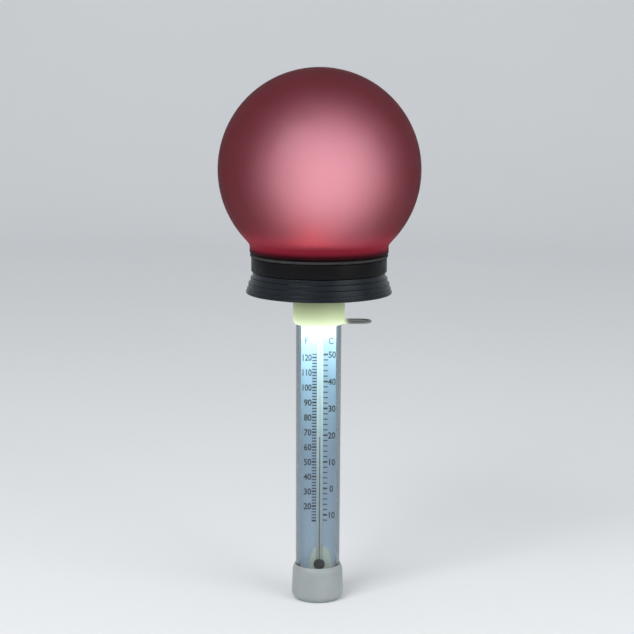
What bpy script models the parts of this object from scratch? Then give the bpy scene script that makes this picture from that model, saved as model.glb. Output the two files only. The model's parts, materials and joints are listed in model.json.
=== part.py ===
"""Floating pool thermometer with a light-up globe float, built as separate pieces.

Metres, +Z up. The origin is the centre of the bottom cap's flat base. The scale card faces -Y, and
the tether tab points to +X. Every piece that touches or rests on another keeps the gap GAP to it.
"""
from math import asin, cos, degrees, pi, radians, sin

import bmesh
import bpy
from mathutils import Matrix, Vector

MM = 0.001
GAP = 0.3 * MM

# Globe and its neck
GLOBE_RADIUS = 56 * MM
GLOBE_CENTRE_Z = 243.5 * MM
GLOBE_WALL = 2 * MM
NECK_RADIUS = 38.5 * MM
NECK_BORE = 36.3 * MM
NECK_BOTTOM_Z = 197.7 * MM

# Head: stepped base shell, threaded collar and battery cover
BASE_BOTTOM_Z = 175.4 * MM
BASE_FLOOR = 2 * MM
BASE_STEPS = (
    (40.5 * MM, 176.5 * MM),
    (39.9 * MM, 178.4 * MM),
    (39.2 * MM, 181.3 * MM),
    (38 * MM, 184.3 * MM),
    (36.8 * MM, 187.2 * MM),
)
BASE_EDGE = 0.5 * MM
BASE_BORE = 34.6 * MM
BASE_MIDDLE_BORE = 36 * MM
BASE_MIDDLE_Z = 180.4 * MM
BASE_UPPER_Z = 183.5 * MM
BASE_LOWER_BORE = 37.5 * MM
BASE_HUB_BORE = 10.8 * MM
COLLAR_RADIUS = NECK_BORE - GAP
COLLAR_FLANGE_RADIUS = 37.6 * MM
COLLAR_FLANGE_TOP_Z = 195.1 * MM
COLLAR_TOP_Z = 205.8 * MM
COLLAR_BORE = 32.6 * MM
COLLAR_SKIRT_Z = 184.5 * MM
LEDGE_Z = 201.2 * MM
LEDGE_BORE = 31.8 * MM
LEDGE_THICKNESS = 1.8 * MM
COVER_RADIUS = 34.2 * MM
COVER_Z = 202.8 * MM
COVER_THICKNESS = 1.6 * MM
POSTS = [(x * 15.3 * MM, y * 26.5 * MM) for x in (-1, 1) for y in (-1, 1)]
POST_RADIUS = 2.8 * MM
SCREW_HOLE_RADIUS = 1.55 * MM
SCREW_HEAD_HEIGHT = 1.3 * MM

# Thermometer tube and its caps
TUBE_RADIUS_BOTTOM = 12.4 * MM
TUBE_RADIUS_TOP = 12.7 * MM
TUBE_WALL = 1.4 * MM
TUBE_BOTTOM_Z = 3.9 * MM
TUBE_TOP_Z = 168.6 * MM
TOP_CAP_RADIUS = 14.5 * MM
TOP_CAP_Z = 158 * MM
TOP_CAP_SHOULDER_Z = 173.8 * MM
SPIGOT_RADIUS = BASE_HUB_BORE - GAP
SPIGOT_TOP_Z = 179.4 * MM
SPIGOT_BORE = 7 * MM
TAB_REACH = 29.4 * MM
TAB_HALF_WIDTH = 5.5 * MM
TAB_Z = 158.6 * MM
TAB_THICKNESS = 1.3 * MM
TAB_HOLE_RADIUS = 3.4 * MM
FOOT_RADIUS = 14.6 * MM
FOOT_TOP_RADIUS = 14.1 * MM
FOOT_FILLET = 3.7 * MM
FOOT_HEIGHT = 20 * MM
FOOT_BORE = 12.75 * MM
FOOT_FLOOR = 2.2 * MM

# Scale card, glass stem and spirit column
CARD_WIDTH = 19.8 * MM
CARD_THICKNESS = 0.8 * MM
CARD_FRONT_Y = 3.1 * MM
CARD_BOTTOM_Z = 14.2 * MM
CARD_TOP_Z = 159.3 * MM
STEM_PLACE = (0.9 * MM, -0.6 * MM)
STEM_RADIUS = 1.9 * MM
STEM_TOP_Z = 161 * MM
BULB_RADIUS = 3.3 * MM
BULB_Z = 19.2 * MM
BULB_WALL = 0.7 * MM
CAPILLARY_RADIUS = 0.65 * MM
SPIRIT_RADIUS = CAPILLARY_RADIUS - GAP
READING_Z = 93.5 * MM
MENISCUS_LENGTH = 1.5 * MM
SEAT_X = 1.8 * MM
SEAT_HALF_WIDTH = 6.8 * MM
SEAT_HEIGHT = 15.8 * MM

# Battery bay: three AAA cells side by side
CELL_RADIUS = 5.25 * MM
CELL_LENGTH = 44.5 * MM
CELL_NUB_LENGTH = 1 * MM
CELL_PITCH = 12 * MM
SPRING_LENGTH = 2.6 * MM
CONTACT_THICKNESS = 0.5 * MM
TROUGH_LENGTH = CELL_LENGTH + SPRING_LENGTH + CONTACT_THICKNESS + 4 * GAP
TROUGH_FLOOR_Z = 181.7 * MM
TRAY_WALL = 1.8 * MM
TRAY_TOP_Z = 188 * MM
TRAY_LUG_X = 30 * MM

# Power button and lights
BUTTON_Y = 25 * MM
BUTTON_RADIUS = 4 * MM
BOARD_THICKNESS = 1.6 * MM
CONTROL_BOARD_Z = 183.8 * MM
LEAD_RADIUS = 0.4 * MM
LED_RADIUS = 2.5 * MM
LED_PLACES = {"led_red": (-3.5, -2), "led_green": (3.5, -2), "led_blue": (0, 4)}
DISC_RADIUS = 10.9 * MM

HEAD_SEGMENTS = 40
TUBE_SEGMENTS = 28
SMALL_SEGMENTS = 16
SCREW_SEGMENTS = 12


def clear_scene():
    """Remove every object of the opened scene."""
    for item in list(bpy.data.objects):
        bpy.data.objects.remove(item)


def material(name, colour, roughness, metallic=0.0, transmission=0.0):
    """A plain Principled material, shared by the pieces that have this finish."""
    made = bpy.data.materials.get(name)
    if made:
        return made
    made = bpy.data.materials.new(name)
    made.use_nodes = True
    shader = made.node_tree.nodes["Principled BSDF"]
    shader.inputs["Base Color"].default_value = (*colour, 1)
    shader.inputs["Roughness"].default_value = roughness
    shader.inputs["Metallic"].default_value = metallic
    shader.inputs["Transmission Weight"].default_value = transmission
    made.diffuse_color = (*colour, 1)
    return made


def globe_plastic():
    return material("globe_plastic", (0.72, 0.12, 0.2), 0.35, transmission=0.4)


def collar_plastic():
    return material("collar_plastic", (0.012, 0.012, 0.014), 0.5)


def base_plastic():
    return material("base_plastic", (0.02, 0.035, 0.05), 0.4)


def top_cap_plastic():
    return material("top_cap_plastic", (0.72, 0.76, 0.58), 0.45)


def bottom_cap_plastic():
    return material("bottom_cap_plastic", (0.5, 0.54, 0.54), 0.5)


def clear_plastic():
    return material("clear_plastic", (0.85, 0.93, 0.97), 0.05, transmission=1.0)


def card_plastic():
    return material("card_plastic", (0.55, 0.68, 0.78), 0.6)


def clear_glass():
    return material("clear_glass", (0.95, 0.95, 0.97), 0.02, transmission=1.0)


def red_spirit():
    return material("red_spirit", (0.45, 0.02, 0.04), 0.2)


def seat_silicone():
    return material("seat_silicone", (0.55, 0.56, 0.4), 0.5)


def black_rubber():
    return material("black_rubber", (0.02, 0.02, 0.02), 0.8)


def white_plastic():
    return material("white_plastic", (0.8, 0.8, 0.78), 0.4)


def steel():
    return material("steel", (0.6, 0.6, 0.62), 0.3, metallic=1.0)


def board_laminate():
    return material("board_laminate", (0.03, 0.2, 0.08), 0.5)


def cell_wrap():
    return material("cell_wrap", (0.08, 0.09, 0.1), 0.35)


def finished(mesh, name, look, location=(0, 0, 0), sharp_degrees=35):
    """Turn a bmesh into a named object with outward faces and smooth round sides."""
    bmesh.ops.recalc_face_normals(mesh, faces=mesh.faces)
    data = bpy.data.meshes.new(name)
    mesh.to_mesh(data)
    mesh.free()
    data.shade_smooth()
    data.set_sharp_from_angle(angle=radians(sharp_degrees))
    data.materials.append(look)
    made = bpy.data.objects.new(name, data)
    made.location = location
    bpy.context.collection.objects.link(made)
    return made


def arc(centre, radius, start, end, steps):
    """Points of an arc in the (r, z) plane, with angles in degrees from +r towards +z."""
    angles = [radians(start + (end - start) * i / steps) for i in range(steps + 1)]
    return [(centre[0] + radius * cos(a), centre[1] + radius * sin(a)) for a in angles]


def turned_mesh(outline, segments, origin_z=0.0):
    """Spin an (r, z) outline once round +Z. Points on the axis close into a pole."""
    mesh = bmesh.new()
    points = [mesh.verts.new((r, 0, z - origin_z)) for r, z in outline]
    pairs = list(zip(points, points[1:]))
    if outline[0][0] > 0 or outline[-1][0] > 0:
        pairs.append((points[-1], points[0]))
    lines = [mesh.edges.new(pair) for pair in pairs]
    bmesh.ops.spin(mesh, geom=points + lines, cent=(0, 0, 0), axis=(0, 0, 1), angle=2 * pi,
                   steps=segments, use_merge=True)
    bmesh.ops.remove_doubles(mesh, verts=mesh.verts, dist=1e-6)
    return mesh


def turned(name, outline, look, segments, centre=(0, 0), origin_z=0.0):
    """A turned solid whose origin is on its own axis at height origin_z."""
    mesh = turned_mesh(outline, segments, origin_z)
    return finished(mesh, name, look, (centre[0], centre[1], origin_z))


def ring_outline(bore, radius, low, high):
    """The section of a plain flat ring."""
    return [(bore, low), (radius, low), (radius, high), (bore, high)]


def disc_outline(radius, low, high, chamfer=0.0):
    """The section of a solid disc, with both its edges chamfered."""
    corners = [(radius, low), (radius, high)]
    if chamfer:
        corners = [(radius - chamfer, low), (radius, low + chamfer)]
        corners += [(radius, high - chamfer), (radius - chamfer, high)]
    return [(0, low), *corners, (0, high)]


def add_block(mesh, low, high):
    """Add a box between two corners to a bmesh and return its vertices."""
    low, high = Vector(low), Vector(high)
    made = bmesh.ops.create_cube(mesh, size=1)["verts"]
    bmesh.ops.scale(mesh, vec=high - low, verts=made)
    bmesh.ops.translate(mesh, vec=(low + high) / 2, verts=made)
    return made


def block(name, low, high, look, bevel=0.0):
    """A box between two corners, with its edges bevelled."""
    mesh = bmesh.new()
    add_block(mesh, low, high)
    if bevel:
        bmesh.ops.bevel(mesh, geom=mesh.edges[:], offset=bevel, segments=1, affect="EDGES")
    return finished(mesh, name, look)


def add_rod(mesh, centre, radius, low, high, segments=SMALL_SEGMENTS):
    """Add an upright cylinder to a bmesh."""
    place = Matrix.Translation((centre[0], centre[1], (low + high) / 2))
    bmesh.ops.create_cone(mesh, cap_ends=True, segments=segments, radius1=radius, radius2=radius,
                          depth=high - low, matrix=place)


def rods(name, centres, radius, low, high, look, segments=SMALL_SEGMENTS):
    """Several upright cylinders in one helper object."""
    mesh = bmesh.new()
    for centre in centres:
        add_rod(mesh, centre, radius, low, high, segments)
    return finished(mesh, name, look)


def combine(target, helper, operation):
    """Cut a helper object from the target, or add it, and keep the helper out of the model."""
    step = target.modifiers.new(helper.name, "BOOLEAN")
    step.operation = operation
    step.solver = "EXACT"
    step.object = helper
    helper.hide_render = True
    helper.display_type = "WIRE"


def joint_empty(name, location):
    """An empty that marks a joint's place on its axis."""
    made = bpy.data.objects.new(name, None)
    made.location = location
    made.empty_display_size = 5 * MM
    bpy.context.collection.objects.link(made)
    return made


def hang_on(empty, pieces):
    """Parent pieces to a joint's empty without moving them."""
    bpy.context.view_layer.update()
    for piece in pieces:
        piece.parent = empty
        piece.matrix_parent_inverse = empty.matrix_world.inverted()


def wire(name, points, radius, look, resolution=1):
    """A round wire through the given points, closed at both ends."""
    curve = bpy.data.curves.new(name, "CURVE")
    curve.dimensions = "3D"
    curve.bevel_depth = radius
    curve.bevel_resolution = resolution
    curve.use_fill_caps = True
    spline = curve.splines.new("POLY")
    spline.points.add(len(points) - 1)
    for point, place in zip(spline.points, points):
        point.co = (*place, 1)
    curve.materials.append(look)
    made = bpy.data.objects.new(name, curve)
    bpy.context.collection.objects.link(made)
    return made


def screw(name, centre, head_radius, head, shank_end, look):
    """A pan-head screw: head is (seat z, top z), and the shank runs from the seat to shank_end."""
    seat, top = head
    shank_radius = SCREW_HOLE_RADIUS - GAP
    crown = seat + (top - seat) * 0.6
    outline = [(0, shank_end), (shank_radius, shank_end), (shank_radius, seat), (head_radius, seat),
               (head_radius, crown), (head_radius * 0.7, top), (0, top)]
    return turned(name, outline, look, SCREW_SEGMENTS, centre, seat)


def build_globe():
    """The translucent ball with its open neck."""
    centre = (0, GLOBE_CENTRE_Z)
    inner_radius = GLOBE_RADIUS - GLOBE_WALL
    outer_end = -90 + degrees(asin(NECK_RADIUS / GLOBE_RADIUS))
    inner_end = -90 + degrees(asin(NECK_BORE / inner_radius))
    outline = arc(centre, GLOBE_RADIUS, 90, outer_end, 14)
    outline += [(NECK_RADIUS, NECK_BOTTOM_Z), (NECK_BORE, NECK_BOTTOM_Z)]
    outline += arc(centre, inner_radius, inner_end, 90, 11)
    outline[0] = (0, outline[0][1])
    outline[-1] = (0, outline[-1][1])
    return turned("globe", outline, globe_plastic(), HEAD_SEGMENTS, origin_z=NECK_BOTTOM_Z)


def build_globe_seal():
    """The O-ring that the neck presses on the collar's flange."""
    radius = 1 * MM
    centre = (COLLAR_RADIUS + GAP + radius, COLLAR_FLANGE_TOP_Z + GAP + radius)
    outline = arc(centre, radius, 0, 360, 6)[:-1]
    return turned("globe_seal", outline, black_rubber(), HEAD_SEGMENTS, origin_z=centre[1])


def build_threaded_collar():
    """The collar that the globe screws on to, with four posts for the screws of base and cover."""
    skirt = BASE_BORE - GAP
    flange_z = BASE_STEPS[-1][1] + GAP
    cover_seat = COVER_RADIUS + GAP
    ledge_under_z = LEDGE_Z - LEDGE_THICKNESS
    chamfer = 0.6 * MM
    outline = [(COLLAR_BORE, COLLAR_SKIRT_Z), (skirt, COLLAR_SKIRT_Z), (skirt, flange_z),
               (COLLAR_FLANGE_RADIUS, flange_z), (COLLAR_FLANGE_RADIUS, COLLAR_FLANGE_TOP_Z),
               (COLLAR_RADIUS, COLLAR_FLANGE_TOP_Z), (COLLAR_RADIUS, COLLAR_TOP_Z - chamfer),
               (COLLAR_RADIUS - chamfer, COLLAR_TOP_Z), (cover_seat, COLLAR_TOP_Z), (cover_seat, LEDGE_Z),
               (LEDGE_BORE, LEDGE_Z), (LEDGE_BORE, ledge_under_z), (COLLAR_BORE, ledge_under_z)]
    collar = turned("threaded_collar", outline, collar_plastic(), HEAD_SEGMENTS)
    foot_z = BASE_BOTTOM_Z + BASE_FLOOR + GAP
    posts = rods("collar_posts", POSTS, POST_RADIUS, foot_z, LEDGE_Z - 0.1 * MM, collar_plastic())
    combine(collar, posts, "UNION")
    lower = rods("base_screw_holes", POSTS, SCREW_HOLE_RADIUS, foot_z - MM, foot_z + 8 * MM,
                 collar_plastic(), SCREW_SEGMENTS)
    combine(collar, lower, "DIFFERENCE")
    upper = rods("cover_screw_holes", POSTS, SCREW_HOLE_RADIUS, LEDGE_Z - 4 * MM, LEDGE_Z + MM,
                 collar_plastic(), SCREW_SEGMENTS)
    combine(collar, upper, "DIFFERENCE")


def build_base_shell():
    """The stepped lower shell, with holes for the tube's spigot, the button and the screws."""
    floor_z = BASE_BOTTOM_Z + BASE_FLOOR
    widest = BASE_STEPS[0][0]
    outline = [(BASE_HUB_BORE, BASE_BOTTOM_Z), (widest - BASE_EDGE, BASE_BOTTOM_Z),
               (widest, BASE_BOTTOM_Z + BASE_EDGE)]
    radii = [radius for radius, _ in BASE_STEPS]
    for (radius, top), following in zip(BASE_STEPS, radii[1:] + [BASE_BORE]):
        outline += [(radius, top - BASE_EDGE / 2), (radius - BASE_EDGE / 2, top), (following, top)]
    outline += [(BASE_BORE, BASE_UPPER_Z), (BASE_MIDDLE_BORE, BASE_UPPER_Z),
                (BASE_MIDDLE_BORE, BASE_MIDDLE_Z), (BASE_LOWER_BORE, BASE_MIDDLE_Z),
                (BASE_LOWER_BORE, floor_z), (BASE_HUB_BORE, floor_z)]
    shell = turned("base_shell", outline, base_plastic(), HEAD_SEGMENTS)
    standoffs = rods("board_standoffs", [(-9 * MM, BUTTON_Y), (9 * MM, BUTTON_Y)], 1.8 * MM,
                     floor_z - MM, CONTROL_BOARD_Z - GAP, base_plastic(), SCREW_SEGMENTS)
    combine(shell, standoffs, "UNION")
    below = BASE_BOTTOM_Z - MM
    holes = bmesh.new()
    for place in POSTS:
        add_rod(holes, place, SCREW_HOLE_RADIUS, below, floor_z + MM, SCREW_SEGMENTS)
    for x in (-TRAY_LUG_X, TRAY_LUG_X):
        add_rod(holes, (x, 0), SCREW_HOLE_RADIUS, BASE_BOTTOM_Z + 0.5 * MM, floor_z + MM, SCREW_SEGMENTS)
    add_rod(holes, (0, BUTTON_Y), BUTTON_RADIUS + GAP, below, floor_z + MM)
    combine(shell, finished(holes, "shell_holes", base_plastic()), "DIFFERENCE")


def build_battery_cover():
    """The white deck over the battery bay, with its gasket, lamp board, lamps and screws."""
    top = COVER_Z + COVER_THICKNESS
    lip = 0.7 * MM
    outline = [(0, COVER_Z), (COVER_RADIUS, COVER_Z), (COVER_RADIUS, top + lip),
               (COVER_RADIUS - lip, top + lip), (COVER_RADIUS - lip, top), (0, top)]
    cover = turned("battery_cover", outline, white_plastic(), HEAD_SEGMENTS, origin_z=COVER_Z)
    lamps = [(x * MM, y * MM) for x, y in LED_PLACES.values()]
    holes = bmesh.new()
    for place in lamps:
        add_rod(holes, place, LED_RADIUS + 0.8 * MM, COVER_Z - MM, top + MM)
    for place in POSTS:
        add_rod(holes, place, SCREW_HOLE_RADIUS, COVER_Z - MM, top + MM, SCREW_SEGMENTS)
    combine(cover, finished(holes, "cover_holes", white_plastic()), "DIFFERENCE")

    gasket = ring_outline(32.3 * MM, COVER_RADIUS, LEDGE_Z + GAP, COVER_Z - GAP)
    turned("cover_gasket", gasket, black_rubber(), HEAD_SEGMENTS)

    board_top = COVER_Z - GAP
    board = turned("led_board", disc_outline(11 * MM, board_top - BOARD_THICKNESS, board_top),
                   board_laminate(), TUBE_SEGMENTS, origin_z=board_top)
    parts = [cover, board]
    for (name, _), place in zip(LED_PLACES.items(), lamps):
        parts.append(build_lamp(name, place, COVER_Z))
    for index, place in enumerate(POSTS, 1):
        seat = top + GAP
        head = (seat, seat + SCREW_HEAD_HEIGHT)
        parts.append(screw(f"cover_screw_{index}", place, 2.5 * MM, head, LEDGE_Z - 3.5 * MM, steel()))
    hang_on(joint_empty("cover_lift_axis", (0, 0, COVER_Z)), parts)


def build_lamp(name, place, foot_z):
    """A 5 mm lamp standing on its flange, dome up."""
    flange = LED_RADIUS + 0.45 * MM
    dome_z = foot_z + 5.3 * MM
    outline = [(0, foot_z), (flange, foot_z), (flange, foot_z + MM), (LED_RADIUS, foot_z + MM)]
    outline += arc((0, dome_z), LED_RADIUS, 0, 90, 4)
    outline[-1] = (0, outline[-1][1])
    colours = {"led_red": (0.9, 0.08, 0.05), "led_green": (0.3, 0.6, 0.35), "led_blue": (0.3, 0.4, 0.7)}
    look = material(name, colours[name], 0.15, transmission=0.5)
    return turned(name, outline, look, SMALL_SEGMENTS, place, foot_z)


def build_base_screws():
    """The four screws that pull the base shell up to the collar's posts, heads under the shell."""
    for index, place in enumerate(POSTS, 1):
        seat = BASE_BOTTOM_Z - GAP
        head = (seat, seat - SCREW_HEAD_HEIGHT)
        screw(f"base_screw_{index}", place, 2.6 * MM, head, BASE_BOTTOM_Z + 9.5 * MM, steel())


def build_battery_bay():
    """The tray with its three cells, their coil springs and flat contacts, and its two screws."""
    half_length = TROUGH_LENGTH / 2 + TRAY_WALL
    half_trough = CELL_RADIUS + GAP
    half_width = CELL_PITCH + half_trough + 1.05 * MM
    floor_z = BASE_BOTTOM_Z + BASE_FLOOR + GAP
    tray = block("battery_tray", (-half_length, -half_width, floor_z),
                 (half_length, half_width, TRAY_TOP_Z), white_plastic())
    lug_top = floor_z + 1.5 * MM
    lugs = bmesh.new()
    lug_reach = TRAY_LUG_X + 3 * MM
    add_block(lugs, (-lug_reach, -4 * MM, floor_z), (lug_reach, 4 * MM, lug_top))
    combine(tray, finished(lugs, "tray_lugs", white_plastic()), "UNION")

    hollows = bmesh.new()
    for row in (-1, 0, 1):
        y = row * CELL_PITCH
        add_block(hollows, (-TROUGH_LENGTH / 2, y - half_trough, TROUGH_FLOOR_Z),
                  (TROUGH_LENGTH / 2, y + half_trough, TRAY_TOP_Z + MM))
    for x in (-TRAY_LUG_X, TRAY_LUG_X):
        add_rod(hollows, (x, 0), SCREW_HOLE_RADIUS, floor_z - MM, lug_top + MM, SCREW_SEGMENTS)
    combine(tray, finished(hollows, "tray_hollows", white_plastic()), "DIFFERENCE")
    recess_top = SPIGOT_TOP_Z + 1.5 * MM
    recess = rods("tray_recess", [(0, 0)], 16.5 * MM, floor_z - MM, recess_top, white_plastic(),
                  HEAD_SEGMENTS)
    combine(tray, recess, "DIFFERENCE")
    channel = block("tray_channel", (-3 * MM, 10 * MM, floor_z - MM), (3 * MM, half_width + MM, recess_top),
                    white_plastic())
    combine(tray, channel, "DIFFERENCE")

    for index, row in enumerate((-1, 0, 1), 1):
        facing = 1 if row else -1
        build_cell(index, row * CELL_PITCH, facing)
    for index, x in enumerate((-TRAY_LUG_X, TRAY_LUG_X), 1):
        seat = lug_top + GAP
        head = (seat, seat + SCREW_HEAD_HEIGHT)
        screw(f"tray_screw_{index}", (x, 0), 2.4 * MM, head, BASE_BOTTOM_Z + 0.9 * MM, steel())


def build_cell(index, y, facing):
    """One AAA cell along X with its spring at the flat end and a plate at the nub; facing is +1 or -1."""
    z = TROUGH_FLOOR_Z + GAP + CELL_RADIUS
    start = -TROUGH_LENGTH / 2
    spring_start = start + GAP
    cell_start = spring_start + SPRING_LENGTH + GAP
    plate_start = cell_start + CELL_LENGTH + GAP
    body = CELL_LENGTH - CELL_NUB_LENGTH
    nub = 1.9 * MM
    edge = 0.5 * MM
    outline = [(0, 0), (CELL_RADIUS - edge, 0), (CELL_RADIUS, edge), (CELL_RADIUS, body - edge),
               (CELL_RADIUS - edge, body), (nub, body), (nub, CELL_LENGTH), (0, CELL_LENGTH)]
    cell = finished(turned_mesh(outline, SMALL_SEGMENTS), f"battery_{index}", cell_wrap())
    cell.rotation_euler = (0, facing * pi / 2, 0)
    cell.location = (facing * cell_start, y, z)

    half_plate = 3.5 * MM
    ends = sorted((facing * plate_start, facing * (plate_start + CONTACT_THICKNESS)))
    block(f"cell_contact_{index}", (ends[0], y - half_plate, z - half_plate),
          (ends[1], y + half_plate, z + half_plate), steel())

    turns = 2.5
    per_turn = 8
    wire_radius = 0.3 * MM
    coil_radius = 3 * MM
    steps = int(turns * per_turn)
    rise = SPRING_LENGTH - 2 * wire_radius
    points = []
    for i in range(steps + 1):
        angle = 2 * pi * i / per_turn
        x = facing * (spring_start + wire_radius + rise * i / steps)
        points.append((x, y + coil_radius * cos(angle), z + coil_radius * sin(angle)))
    wire(f"cell_spring_{index}", points, wire_radius, steel(), 0)


def build_button_and_board():
    """The power button under the base, its switch, and the board with the chip."""
    floor_z = BASE_BOTTOM_Z + BASE_FLOOR
    flange = BUTTON_RADIUS + 1.2 * MM
    face_z = BASE_BOTTOM_Z - 1.2 * MM
    stop_z = floor_z + GAP
    flange_top = stop_z + 0.7 * MM
    chamfer = 0.6 * MM
    outline = [(0, face_z), (BUTTON_RADIUS - chamfer, face_z), (BUTTON_RADIUS, face_z + chamfer),
               (BUTTON_RADIUS, stop_z), (flange, stop_z), (flange, flange_top), (0, flange_top)]
    button = turned("power_button", outline, black_rubber(), 24, (0, BUTTON_Y), face_z)
    hang_on(joint_empty("button_axis", (0, BUTTON_Y, face_z)), [button])

    switch_top = CONTROL_BOARD_Z - GAP
    switch = block("tact_switch", (-3 * MM, BUTTON_Y - 3 * MM, 180.6 * MM),
                   (3 * MM, BUTTON_Y + 3 * MM, switch_top), collar_plastic())
    plunger = rods("switch_plunger", [(0, BUTTON_Y)], 1.6 * MM, 179.7 * MM, 181 * MM, collar_plastic(),
                   SCREW_SEGMENTS)
    combine(switch, plunger, "UNION")
    board_top = CONTROL_BOARD_Z + BOARD_THICKNESS
    block("control_board", (-12 * MM, 20.4 * MM, CONTROL_BOARD_Z), (12 * MM, 29.4 * MM, board_top),
          board_laminate())
    chip_z = board_top + GAP
    block("control_chip", (-2.5 * MM, 23 * MM, chip_z), (2.5 * MM, 27 * MM, chip_z + 1.4 * MM),
          collar_plastic(), 0.2 * MM)


def build_top_cap():
    """The tube's upper cap: socket for the tube, spigot through the base floor and moulded tether tab."""
    bore = TUBE_RADIUS_TOP + GAP
    ceiling_z = TUBE_TOP_Z + 1.7 * MM
    outline = [(bore, TOP_CAP_Z), (bore + 0.3 * MM, TOP_CAP_Z), (TOP_CAP_RADIUS, TOP_CAP_Z + 2 * MM),
               (TOP_CAP_RADIUS, TOP_CAP_SHOULDER_Z), (SPIGOT_RADIUS, TOP_CAP_SHOULDER_Z),
               (SPIGOT_RADIUS, SPIGOT_TOP_Z), (SPIGOT_BORE, SPIGOT_TOP_Z), (SPIGOT_BORE, ceiling_z),
               (bore, ceiling_z)]
    cap = turned("top_cap", outline, top_cap_plastic(), TUBE_SEGMENTS)
    eye_x = TAB_REACH - TAB_HALF_WIDTH
    tab = bmesh.new()
    add_block(tab, (13.3 * MM, -TAB_HALF_WIDTH, TAB_Z), (eye_x, TAB_HALF_WIDTH, TAB_Z + TAB_THICKNESS))
    combine(cap, finished(tab, "tab_plate", top_cap_plastic()), "UNION")
    eye = rods("tab_end", [(eye_x, 0)], TAB_HALF_WIDTH, TAB_Z, TAB_Z + TAB_THICKNESS, top_cap_plastic(), 24)
    combine(cap, eye, "UNION")
    hole = rods("tab_hole", [(eye_x, 0)], TAB_HOLE_RADIUS, TAB_Z - MM, TAB_Z + 3 * MM, top_cap_plastic())
    combine(cap, hole, "DIFFERENCE")


def build_tube_top():
    """What joins the tube to the base and lights it: nut, seals, lens, lamp, its board and two leads."""
    floor_z = BASE_BOTTOM_Z + BASE_FLOOR
    nut = ring_outline(SPIGOT_RADIUS + GAP, 14.5 * MM, floor_z + GAP, SPIGOT_TOP_Z - 0.2 * MM)
    turned("tube_nut", nut, collar_plastic(), TUBE_SEGMENTS)
    gasket = ring_outline(SPIGOT_RADIUS + GAP, 13.8 * MM, TOP_CAP_SHOULDER_Z + GAP, BASE_BOTTOM_Z - GAP)
    turned("cap_gasket", gasket, black_rubber(), TUBE_SEGMENTS)
    seal = ring_outline(10.2 * MM, TUBE_RADIUS_TOP, TUBE_TOP_Z + GAP, TUBE_TOP_Z + 1.4 * MM)
    turned("tube_seal", seal, black_rubber(), TUBE_SEGMENTS)
    lens = disc_outline(DISC_RADIUS, 163 * MM, 164.8 * MM, 0.3 * MM)
    turned("light_lens", lens, clear_plastic(), TUBE_SEGMENTS)

    lamp_top = 172.5 * MM
    dome_z = 167.8 * MM
    flange = LED_RADIUS + 0.45 * MM
    outline = [(0, lamp_top), (flange, lamp_top), (flange, lamp_top - MM), (LED_RADIUS, lamp_top - MM)]
    outline += arc((0, dome_z), LED_RADIUS, 0, -90, 4)
    outline[-1] = (0, outline[-1][1])
    turned("downlight_led", outline, clear_glass(), SMALL_SEGMENTS)
    board = disc_outline(SPIGOT_BORE - GAP, lamp_top + GAP, lamp_top + GAP + BOARD_THICKNESS)
    turned("downlight_board", board, board_laminate(), 24)

    start_z = lamp_top + 2 * GAP + BOARD_THICKNESS + LEAD_RADIUS
    build_lead("lead_wire_red", -1.2 * MM, start_z, (0.5, 0.02, 0.02))
    build_lead("lead_wire_black", 1.2 * MM, start_z, (0.02, 0.02, 0.02))


def build_lead(name, x, start_z, colour):
    """A lead up inside the spigot, over its rim, along the tray's channel and up to the control board."""
    rise_y, board_y = 3 * MM, 21 * MM
    over_z = SPIGOT_TOP_Z + 0.75 * MM
    end_z = CONTROL_BOARD_Z - GAP
    points = [(x, rise_y, start_z), (x, rise_y, over_z - 0.6 * MM), (x, rise_y + 0.6 * MM, over_z),
              (x, board_y - 0.6 * MM, over_z), (x, board_y, over_z + 0.6 * MM), (x, board_y, end_z)]
    wire(name, points, LEAD_RADIUS, material(name, colour, 0.5))


def build_tube():
    """The clear tube, the stem's holder at its top, and what closes its lower end."""
    low, high = TUBE_RADIUS_BOTTOM, TUBE_RADIUS_TOP
    outline = [(low - TUBE_WALL, TUBE_BOTTOM_Z), (low, TUBE_BOTTOM_Z), (high, TUBE_TOP_Z),
               (high - TUBE_WALL, TUBE_TOP_Z)]
    turned("clear_tube", outline, clear_plastic(), TUBE_SEGMENTS)
    disc = disc_outline(DISC_RADIUS, 159.6 * MM, 162.2 * MM)
    holder = turned("stem_holder", disc, clear_plastic(), TUBE_SEGMENTS)
    hole = rods("holder_hole", [STEM_PLACE], STEM_RADIUS + GAP, 159 * MM, 163 * MM, clear_plastic())
    combine(holder, hole, "DIFFERENCE")

    outline = [(0, 0)]
    outline += arc((FOOT_RADIUS - FOOT_FILLET, FOOT_FILLET), FOOT_FILLET, -90, 0, 4)
    outline += [(FOOT_TOP_RADIUS, FOOT_HEIGHT - 2.2 * MM), (FOOT_BORE + 0.3 * MM, FOOT_HEIGHT),
                (FOOT_BORE, FOOT_HEIGHT), (FOOT_BORE, FOOT_FLOOR), (0, FOOT_FLOOR)]
    turned("bottom_cap", outline, bottom_cap_plastic(), TUBE_SEGMENTS)
    seal = ring_outline(10.6 * MM, TUBE_RADIUS_BOTTOM, FOOT_FLOOR + GAP, TUBE_BOTTOM_Z - GAP)
    turned("bottom_seal", seal, black_rubber(), TUBE_SEGMENTS)
    weight = disc_outline(10.2 * MM, FOOT_FLOOR + GAP, CARD_BOTTOM_Z - 2 * GAP, 0.6 * MM)
    turned("ballast_weight", weight, steel(), TUBE_SEGMENTS)


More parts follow.
